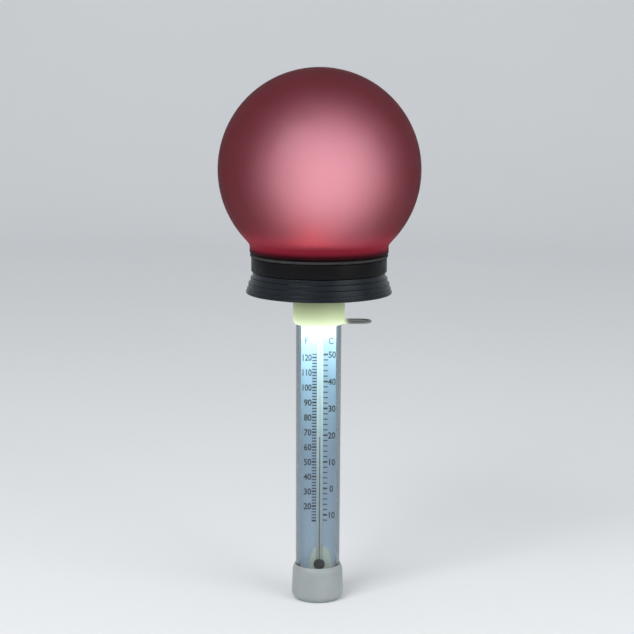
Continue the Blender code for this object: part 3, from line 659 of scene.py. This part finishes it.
def make_top_cap(look):
    """The cream cap with its chamfered rim, and the tether tab moulded on to it."""
    low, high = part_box("top_cap")
    bore, radius, spigot, spigot_bore = 13.0 * MM, 14.5 * MM, 10.5 * MM, 7.0 * MM
    shoulder, ceiling = 173.8 * MM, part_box("clear_tube")[HIGH].z + 1.7 * MM
    points = [(bore, low.z), (bore + 0.3 * MM, low.z), (radius - 0.2 * MM, low.z + 1.5 * MM),
              (radius, low.z + 2.4 * MM), (radius, shoulder), (spigot, shoulder), (spigot, high.z),
              (spigot_bore, high.z), (spigot_bore, ceiling), (bore, ceiling), (bore, low.z)]
    sizes = [0, 0.3, 1.2, 1.2, 0.5, 0.2, 0.4, 0.3, 0.2, 0.2, 0]
    outline = rounded(points, [size * MM for size in sizes])[:-1]
    cap = turned("tube_top_cap", outline, look, 128, closed=True)
    tab_half, tab_eye, tab_thick, tab_root = 5.5 * MM, 3.4 * MM, 1.3 * MM, 13.3 * MM
    mesh = tab_mesh(high.x - tab_half, high.x, tab_half, tab_eye, TAB_Z, TAB_Z + tab_thick, tab_root)
    tab = add_piece(mesh, "tab", look)
    boolean(cap, tab, "UNION")
    smooth(cap.data, 50)
    stands_for(cap, "root", "top_cap_plastic", "top_cap")


def make_tube(look):
    """The clear tube with rounded ends and a slight draft."""
    low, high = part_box("clear_tube")
    bottom, top, wall = 12.4 * MM, 12.7 * MM, 1.4 * MM
    points = [(bottom - wall, low.z + 0.4 * MM), (bottom - wall / 2, low.z), (bottom, low.z + 0.4 * MM),
              (top, high.z - 0.4 * MM), (top - wall / 2, high.z), (top - wall, high.z - 0.4 * MM)]
    tube = turned("tube_clear", points, look, 128, closed=True)
    stands_for(tube, "root", "clear_plastic", "clear_tube")


def make_bottom_cap(look):
    """The foot cap: rounded base with a flat to stand on, slight draft and a chamfered rim."""
    low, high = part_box("bottom_cap")
    radius, fillet, bore = high.x, 3.7 * MM, 12.47 * MM
    outline = [(0.0, low.z)]
    outline += arc((radius - fillet, low.z + fillet), fillet, -90, 0, 14)
    floor_z = low.z + 2.2 * MM
    rim = [(radius, low.z + fillet), (14.1 * MM, high.z - 2.4 * MM), (bore + 0.35 * MM, high.z),
           (bore, high.z), (bore, floor_z), (0.0, floor_z)]
    outline += rounded(rim, [0, 1.4 * MM, 0.35 * MM, 0.15 * MM, 0.6 * MM, 0])[1:]
    cap = turned("tube_foot_cap", outline, look, 128)
    stands_for(cap, "root", "bottom_cap_plastic", "bottom_cap")


def add_bar(mesh, centre_x, centre_z, width, tall, front, depth):
    """A thin printed bar on the card."""
    made = bmesh.ops.create_cube(mesh, size=1)["verts"]
    bmesh.ops.scale(mesh, vec=(width, depth, tall), verts=made)
    bmesh.ops.translate(mesh, vec=(centre_x, front - depth / 2, centre_z), verts=made)


def add_text(mesh, words, x, z, align, front, depth):
    """Raised print of a number or letter, CAP_HEIGHT tall and centred on z."""
    curve = bpy.data.curves.new("print", "FONT")
    curve.body = words
    curve.align_x = align
    curve.extrude = 0.5
    curve.offset = TEXT_BOLD
    curve.resolution_u = 4
    item = bpy.data.objects.new("print", curve)
    bpy.context.scene.collection.objects.link(item)
    graph = bpy.context.evaluated_depsgraph_get()
    shape = bpy.data.meshes.new_from_object(item.evaluated_get(graph))
    tall = CAP_HEIGHT / FONT_CAP
    place = Matrix.Translation((x, front - depth / 2, z - CAP_HEIGHT / 2))
    turn = Matrix.Rotation(pi / 2, 4, "X")
    narrow = TEXT_NARROW * (THREE_DIGITS_NARROW if len(words) > 2 else 1.0)
    size = Matrix.Diagonal((tall * narrow, tall, depth, 1))
    shape.transform(place @ turn @ size)
    mesh.from_mesh(shape)
    bpy.data.objects.remove(item)


def fahrenheit_z(value):
    """Height of a Fahrenheit mark."""
    return SCALE_LOW_Z + (value - SCALE_LOW_F) * SCALE_STEP


def make_scale(card_look, ink_look):
    """The card with rounded corners, and its printed marks, numbers and letters."""
    low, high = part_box("scale_card")
    mesh = bmesh.new()
    half, corner, steps = 10.2 * MM, 1.2 * MM, 6
    rim = []
    for cx, cz, start in ((half, high.z, 0), (-half, high.z, 90), (-half, low.z, 180), (half, low.z, 270)):
        mid_x = cx - corner if cx > 0 else cx + corner
        mid_z = cz - corner if start < 180 else cz + corner
        for i in range(steps + 1):
            angle = radians(start + 90 * i / steps)
            rim.append(mesh.verts.new((mid_x + corner * cos(angle), low.y, mid_z + corner * sin(angle))))
    face = mesh.faces.new(rim)
    moved = bmesh.ops.extrude_face_region(mesh, geom=[face])["geom"]
    moved = [item for item in moved if isinstance(item, bmesh.types.BMVert)]
    bmesh.ops.translate(mesh, vec=(0, high.y - low.y, 0), verts=moved)
    rim_edges = [edge for edge in mesh.edges if abs(edge.verts[0].co.y - edge.verts[1].co.y) < 1e-7]
    bmesh.ops.bevel(mesh, geom=rim_edges, offset=0.12 * MM, segments=2, affect="EDGES")
    stands_for(add_piece(mesh, "scale_card_face", card_look), "root", "card_plastic", "scale_card")

    mesh = bmesh.new()
    front, depth = low.y - 0.02 * MM, 0.05 * MM
    for value in range(10, 123, 2):
        bold = value % 10 == 0
        z = fahrenheit_z(value)
        add_bar(mesh, F_MARK_X, z, MARK_LENGTH, (1.0 if bold else 0.68) * MM, front, depth)
        if bold and value > 10:
            add_text(mesh, str(value), F_TEXT_X, z, "RIGHT", front, depth)
    for value in range(-12, 51, 2):
        bold = value % 10 == 0
        z = fahrenheit_z(value * 1.8 + 32)
        add_bar(mesh, C_MARK_X, z, MARK_LENGTH, (1.0 if bold else 0.58) * MM, front, depth)
        if bold:
            add_text(mesh, str(abs(value)), C_TEXT_X, z, "CENTER", front, depth)
    letter_z = fahrenheit_z(LETTER_F)
    add_text(mesh, "F", -LETTER_X, letter_z, "CENTER", front, depth)
    add_text(mesh, "C", LETTER_X, letter_z, "CENTER", front, depth)
    print_piece = add_piece(mesh, "scale_print", ink_look)
    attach(print_piece, "root")


def make_stem(glass, spirit, backing_look):
    """The glass stem and bulb, the white strip behind it, and the spirit inside."""
    low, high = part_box("glass_stem")
    bulb = (high.x - low.x) / 2
    x, y = middle_of("glass_stem")
    centre = (0, low.z + bulb)
    stem, bore, cavity = 1.9 * MM, 0.45 * MM, bulb - 0.7 * MM
    neck = degrees(asin((stem + 0.5 * MM) / bulb))
    mouth = degrees(asin((bore + 0.2 * MM) / cavity))
    outline = arc(centre, bulb, -90, 90 - neck, 28)
    waist = outline[-1][1]
    outline += [(stem + 0.12 * MM, waist + 0.45 * MM), (stem, waist + 1.3 * MM), (stem, high.z - 0.7 * MM),
                (stem - 0.3 * MM, high.z - 0.15 * MM), (stem - 0.7 * MM, high.z), (bore, high.z)]
    inner = arc(centre, cavity, 90 - mouth, -90, 28)
    outline += [(bore, inner[0][1] + 0.8 * MM), *inner]
    piece = turned("stem_glass", on_axis(outline), glass, 64, (x, y, 0))
    stands_for(piece, "root", "clear_glass", "glass_stem")

    strip = bmesh.new()
    strip_low, strip_high = 26 * MM, 159 * MM
    add_bar(strip, x, (strip_low + strip_high) / 2, 2.6 * MM, strip_high - strip_low,
            y + stem + 0.4 * MM, 0.2 * MM)
    bmesh.ops.bevel(strip, geom=strip.edges[:], offset=0.05 * MM, segments=2, affect="EDGES")
    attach(add_piece(strip, "stem_white_backing", backing_look), "root")

    ball = on_axis(arc(centre, cavity + 0.4 * MM, -90, 90, 28))
    stands_for(turned("spirit_in_bulb", ball, spirit, 48, (x, y, 0)), "root", "red_spirit", "spirit_pool")

    low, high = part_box("spirit_thread")
    top_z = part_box("spirit_meniscus")[HIGH].z
    radius, rows = 0.2 * MM, 60
    wall = [(radius, low.z + (high.z - low.z) * i / rows) for i in range(rows + 1)]
    outline = [(0.0, low.z), *wall, (0.0, high.z)]
    thread = turned("spirit_column", outline, spirit, 24, (x, y, 0))
    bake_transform(thread)
    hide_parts("spirit_thread")
    outline = [(0.0, high.z - 0.05 * MM), (radius, high.z - 0.05 * MM)]
    outline += arc((0, top_z - radius), radius, 0, 90, 8)
    outline = outline[:-1] + [(0.0, top_z)]
    top = turned("spirit_top", outline, spirit, 24, (x, y, 0))
    stands_for(top, "reading", "red_spirit", "spirit_meniscus")


def make_seat(look):
    """The sealant dome behind the bulb: soft shoulders, with the bulb pressed into it."""
    low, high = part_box("bulb_seat")
    bulb_low, bulb_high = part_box("glass_stem")
    x, y = middle_of("bulb_seat")
    half_x, half_y, tall = (high.x - low.x) / 2, (high.y - low.y) / 2, high.z - low.z
    mesh = bmesh.new()
    levels, around = 18, 48
    rings = []
    for level in range(levels):
        turn = radians(90 * level / levels)
        wide, deep = cos(turn) ** 0.7, cos(turn) ** 0.4
        ring = []
        for i in range(around):
            angle = 2 * pi * i / around
            squared_x = abs(cos(angle)) ** 0.75 * (1 if cos(angle) > 0 else -1)
            squared_y = abs(sin(angle)) ** 0.75 * (1 if sin(angle) > 0 else -1)
            ring.append(mesh.verts.new((x + half_x * wide * squared_x, y + half_y * deep * squared_y,
                                        low.z + tall * sin(turn))))
        rings.append(ring)
    for before, after in zip(rings, rings[1:]):
        for i in range(around):
            mesh.faces.new((before[i], before[(i + 1) % around], after[(i + 1) % around], after[i]))
    tip = mesh.verts.new((x, y, high.z))
    for i in range(around):
        mesh.faces.new((rings[-1][i], rings[-1][(i + 1) % around], tip))
    mesh.faces.new(rings[0][::-1])
    seat = add_piece(mesh, "sealant_dome", look)
    bulb = (bulb_high.x - bulb_low.x) / 2
    room, channel = bulb + 0.05 * MM, 1.95 * MM
    outline = arc((0, bulb_low.z + bulb), room, -90, 90 - degrees(asin(channel / room)), 20)
    outline = [(0.0, outline[0][1]), *outline[1:], (channel, 40 * MM), (0.0, 40 * MM)]
    press = turned("press", outline, look, 48, (*middle_of("glass_stem"), 0))
    boolean(seat, press, "DIFFERENCE")
    smooth(seat.data)
    stands_for(seat, "root", "seat_silicone", "bulb_seat")


def make_cover(look):
    """The white deck with its lip, a dished middle and rounded holes for lamps and screws."""
    low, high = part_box("battery_cover")
    top, lip = low.z + 1.6 * MM, 0.7 * MM
    points = [(0.0, low.z), (high.x, low.z), (high.x, high.z), (high.x - lip, high.z), (high.x - lip, top),
              (27 * MM, top), (25 * MM, top - 0.4 * MM), (0.0, top - 0.4 * MM)]
    deck = turned("lamp_deck", rounded(points, 0.25 * MM), look, 128)
    holes = [(middle_of(name), 3.3 * MM) for name in LAMPS] + [(place, SCREW_HOLE) for place in POSTS]
    for place, radius in holes:
        boolean(deck, upright(place, radius, low.z - MM, top + MM), "DIFFERENCE")
    smooth(deck.data)
    stands_for(deck, "cover", "white_plastic", "battery_cover")


def make_lamps(looks):
    """Lamp bodies with a flange and a full dome."""
    for name in LAMPS:
        low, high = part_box(name)
        radius, flange = 2.5 * MM, (high.x - low.x) / 2
        points = [(0.0, low.z), (flange, low.z), (flange, low.z + MM), (radius, low.z + MM)]
        outline = rounded(points, 0.2 * MM) + arc((0, high.z - radius), radius, 0, 90, 16)
        outline[-1] = (0.0, high.z)
        lamp = turned(name + "_body", outline, looks[name], 48, (*middle_of(name), 0))
        stands_for(lamp, "cover", "lamp_" + name[4:], name)


def make_cells(sleeve, steel):
    """AAA cells with a sleeve, crimped ends and a nub, and their coil springs."""
    for index in (1, 2, 3):
        low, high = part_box(f"battery_{index}")
        facing = -1 if index == 2 else 1
        y, z = (low.y + high.y) / 2, (low.z + high.z) / 2
        radius, length = (high.z - low.z) / 2, high.x - low.x
        nub, shoulder = 1.9 * MM, length - 1.2 * MM
        points = [(0.0, 0.0), (radius * 0.86, 0.0), (radius, 0.0), (radius, length - MM),
                  (radius * 0.8, length - MM), (radius * 0.72, shoulder), (nub, shoulder), (nub, length),
                  (0.0, length)]
        mesh = turned_bmesh(rounded(points, 0.4 * MM), 64, False)
        turn = Matrix.Rotation(facing * pi / 2, 3, "Y")
        bmesh.ops.rotate(mesh, cent=(0, 0, 0), matrix=turn, verts=mesh.verts)
        start = low.x if facing > 0 else high.x
        cell = add_piece(mesh, f"cell_{index}", sleeve, (start, y, z))
        cell.data.materials.append(steel)
        for face in cell.data.polygons:
            along = (face.center.x - start) * facing
            if along < 0.5 * MM or along > length - 1.5 * MM:
                face.material_index = 1
        stands_for(cell, "root", "cell_wrap", f"battery_{index}")
        make_coil(index, facing, steel)


def make_coil(index, facing, look):
    """A conical contact spring along X."""
    low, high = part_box(f"cell_spring_{index}")
    y, z = (low.y + high.y) / 2, (low.z + high.z) / 2
    wire_radius, turns, per_turn, sides = 0.3 * MM, 3, 32, 10
    length = high.x - low.x - 2 * wire_radius
    base = high.x - wire_radius if facing < 0 else low.x + wire_radius
    mesh = bmesh.new()
    rings = []
    for i in range(turns * per_turn + 1):
        angle = 2 * pi * i / per_turn
        t = i / (turns * per_turn)
        radius = 3.0 * MM - 0.9 * MM * t
        out = Vector((0, cos(angle), sin(angle)))
        centre = Vector((base + facing * length * t, y, z)) + out * radius
        ring = []
        for k in range(sides):
            turn = 2 * pi * k / sides
            spoke = out * cos(turn) + Vector((1, 0, 0)) * sin(turn)
            ring.append(mesh.verts.new(centre + spoke * wire_radius))
        rings.append(ring)
    for before, after in zip(rings, rings[1:]):
        for k in range(sides):
            mesh.faces.new((before[k], before[(k + 1) % sides], after[(k + 1) % sides], after[k]))
    mesh.faces.new(rings[0][::-1])
    mesh.faces.new(rings[-1])
    stands_for(add_piece(mesh, f"cell_coil_{index}", look), "root", "steel", f"cell_spring_{index}")


def make_button(look):
    """The rubber power button with a raised ring and a dished face."""
    low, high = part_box("power_button")
    y = (low.y + high.y) / 2
    radius, flange = 4 * MM, (high.x - low.x) / 2
    stop_z = high.z - 0.7 * MM
    points = [(0.0, low.z + 0.45 * MM), (2.0 * MM, low.z + 0.3 * MM), (2.6 * MM, low.z), (3.2 * MM, low.z),
              (radius, low.z + 0.6 * MM), (radius, stop_z), (flange, stop_z), (flange, high.z), (0.0, high.z)]
    button = turned("power_button_cap", rounded(points, 0.4 * MM), look, 64, (0, y, 0))
    stands_for(button, "button", "black_rubber", "power_button")


def make_looks():
    """Every material, by the record's slot name where there is one."""
    steel = metal("plated_steel", (0.55, 0.55, 0.57), 0.3)
    rubber = moulded("black_seal", (0.010, 0.010, 0.010), (0.02, 0.02, 0.02), (0.6, 0.8), depth=0.02 * MM)
    black = moulded("black_moulding", (0.0015, 0.0015, 0.0018), (0.003, 0.003, 0.0035), (0.35, 0.5),
                    Specular_IOR_Level=0.12)
    return {
        "globe_plastic": globe_material(),
        "collar_plastic": black,
        "base_plastic": moulded("navy_moulding", (0.0025, 0.0050, 0.0085), (0.0045, 0.0085, 0.013),
                                (0.26, 0.36), depth=0.002 * MM, Specular_IOR_Level=0.28),
        "top_cap_plastic": top_cap_material(),
        "bottom_cap_plastic": moulded("grey_moulding", (0.30, 0.33, 0.335), (0.34, 0.375, 0.375), (0.36, 0.5),
                                      Subsurface_Weight=0.3, Subsurface_Scale=3 * MM),
        "clear_plastic": clear_material("plastic_clear", (0.95, 0.98, 0.99), 0.02, 1.49,
                                        (0.40, 0.58, 0.68), 260.0, band=0.26, rim=0.12),
        "clear_glass": clear_material("glass_clear", (0.97, 0.98, 0.97), 0.03, 1.06, (0.8, 0.85, 0.85), 5.0),
        "card_plastic": card_material(),
        "red_spirit": moulded("dyed_spirit", (0.014, 0.001, 0.003), (0.026, 0.001, 0.005), (0.08, 0.16),
                              Specular_IOR_Level=0.05),
        # The sealant gets a faint painted glow, though it is no lamp.
        "seat_silicone": moulded("seat_sealant", (0.66, 0.68, 0.60), (0.72, 0.74, 0.66), (0.35, 0.5),
                                 Transmission_Weight=0.15, Emission_Color=(0.09, 0.095, 0.075, 1),
                                 Emission_Strength=1.0),
        "black_rubber": rubber,
        "white_plastic": moulded("white_moulding", (0.62, 0.62, 0.60), (0.72, 0.72, 0.70), (0.3, 0.45)),
        "steel": steel,
        "board_laminate": moulded("green_board", (0.01, 0.08, 0.03), (0.02, 0.13, 0.05), (0.25, 0.4),
                                  cloud=3 * MM),
        "cell_wrap": moulded("cell_sleeve", (0.02, 0.022, 0.025), (0.035, 0.038, 0.04), (0.2, 0.3)),
        "wire_red": moulded("red_lead", (0.30, 0.01, 0.01), (0.4, 0.015, 0.015), (0.35, 0.5)),
        "wire_black": rubber,
        "lamp_red": lamp_material("lamp_red", (0.7, 0.04, 0.03), (1.0, 0.10, 0.05), 8.0),
        "lamp_green": lamp_material("lamp_green", (0.2, 0.45, 0.25), (0, 0, 0), 0.0),
        "lamp_blue": lamp_material("lamp_blue", (0.2, 0.3, 0.6), (0, 0, 0), 0.0),
        "lamp_white": lamp_material("lamp_white", (0.8, 0.85, 0.9), (0.8, 0.95, 1.0), 20.0),
        "print_ink": ink_material(),
    }


def dress_cad_nodes(looks):
    """Give every CAD node that stays the procedural material of its slot."""
    for part in frame["record"]["subparts"]:
        data = NODES[part["node"]].data
        data.materials.clear()
        data.materials.append(looks[part["material_slot"]])
        data.set_sharp_from_angle(angle=radians(35))


# ---------------------------------------------------------------- light, stage and camera

def area_light(name, place, power):
    """A square white area light that looks at the middle of the object."""
    data = bpy.data.lights.new(name, "AREA")
    data.size = 0.9
    data.energy = power
    made = bpy.data.objects.new(name, data)
    made.location = place
    made.rotation_euler = (Vector((0, 0, 0.15)) - Vector(place)).to_track_quat("-Z", "Y").to_euler()
    bpy.context.scene.collection.objects.link(made)


def point_light(name, place, radius, power, colour):
    """A soft point light inside the object."""
    data = bpy.data.lights.new(name, "POINT")
    data.shadow_soft_size = radius
    data.energy = power
    data.color = colour
    made = bpy.data.objects.new(name, data)
    made.location = place
    made.visible_camera = False
    bpy.context.scene.collection.objects.link(made)


def make_lights():
    """Soft studio light, the glow in the ball and the white light in the tube."""
    area_light("key", (-0.7, -1.0, 1.1), 13)
    area_light("fill", (0.9, -0.8, 0.6), 6)
    centre_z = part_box("globe")[HIGH].z - GLOBE_RADIUS
    point_light("globe_glow", (4 * MM, 0, centre_z - 2 * MM), 35 * MM, 0.215, (0.60, 1.0, 0.92))
    point_light("tube_glow", (0, -4 * MM, 156.5 * MM), 2 * MM, 0.12, (0.75, 0.95, 1.0))
    world = bpy.data.worlds.new("studio")
    world.use_nodes = True
    background = world.node_tree.nodes["Background"]
    background.inputs["Color"].default_value = (0.80, 0.83, 0.86, 1)
    background.inputs["Strength"].default_value = 0.62
    bpy.context.scene.world = world


def make_stage():
    """A pale floor that curves up into a pale wall."""
    depth, wall, bend, half = 2.2, 2.4, 0.6, 3.0
    profile = [(-half, 0.0), (depth - bend, 0.0)]
    for i in range(1, 13):
        angle = pi / 2 * i / 12
        profile.append((depth - bend + bend * sin(angle), bend - bend * cos(angle)))
    profile.append((depth, wall))
    mesh = bmesh.new()
    rows = [[mesh.verts.new((x, y, z)) for y, z in profile] for x in (-half, half)]
    for i in range(len(profile) - 1):
        mesh.faces.new((rows[0][i], rows[1][i], rows[1][i + 1], rows[0][i + 1]))
    made, tree, output = new_material("studio_paper")
    shader = principled(tree, output, 0.85)
    cloud = noise(tree, coordinates(tree), 0.5)
    colour = ramp(tree, cloud, [(0.3, (0.87, 0.88, 0.89)), (0.7, (0.89, 0.90, 0.91))])
    tree.links.new(colour, shader.inputs["Base Color"])
    add_piece(mesh, "studio_floor", made)


def make_camera():
    """The camera in front of the scale, above the ball and tilted down."""
    data = bpy.data.cameras.new("camera")
    data.lens = CAMERA_LENS
    data.sensor_width = CAMERA_SENSOR
    made = bpy.data.objects.new("camera", data)
    made.location = (CAMERA_X, -CAMERA_DISTANCE, CAMERA_HEIGHT)
    turn = Matrix.Rotation(pi / 2 - CAMERA_TILT, 4, "X") @ Matrix.Rotation(CAMERA_ROLL, 4, "Z")
    made.rotation_euler = turn.to_euler()
    bpy.context.scene.collection.objects.link(made)
    bpy.context.scene.camera = made


bpy.context.scene.view_settings.view_transform = "Standard"
LOOKS = make_looks()
dress_cad_nodes(LOOKS)
make_globe(LOOKS["globe_plastic"])
make_seal(LOOKS["black_rubber"])
make_collar(LOOKS["collar_plastic"])
make_base(LOOKS["base_plastic"])
make_screws(LOOKS["steel"])
make_top_cap(LOOKS["top_cap_plastic"])
make_tube(LOOKS["clear_plastic"])
make_bottom_cap(LOOKS["bottom_cap_plastic"])
make_scale(LOOKS["card_plastic"], LOOKS["print_ink"])
make_stem(LOOKS["clear_glass"], LOOKS["red_spirit"], backing_material())
make_seat(LOOKS["seat_silicone"])
make_cover(LOOKS["white_plastic"])
make_lamps({name: LOOKS["lamp_" + name[4:]] for name in LAMPS})
make_cells(LOOKS["cell_wrap"], LOOKS["steel"])
make_button(LOOKS["black_rubber"])
make_stage()
make_lights()
make_camera()
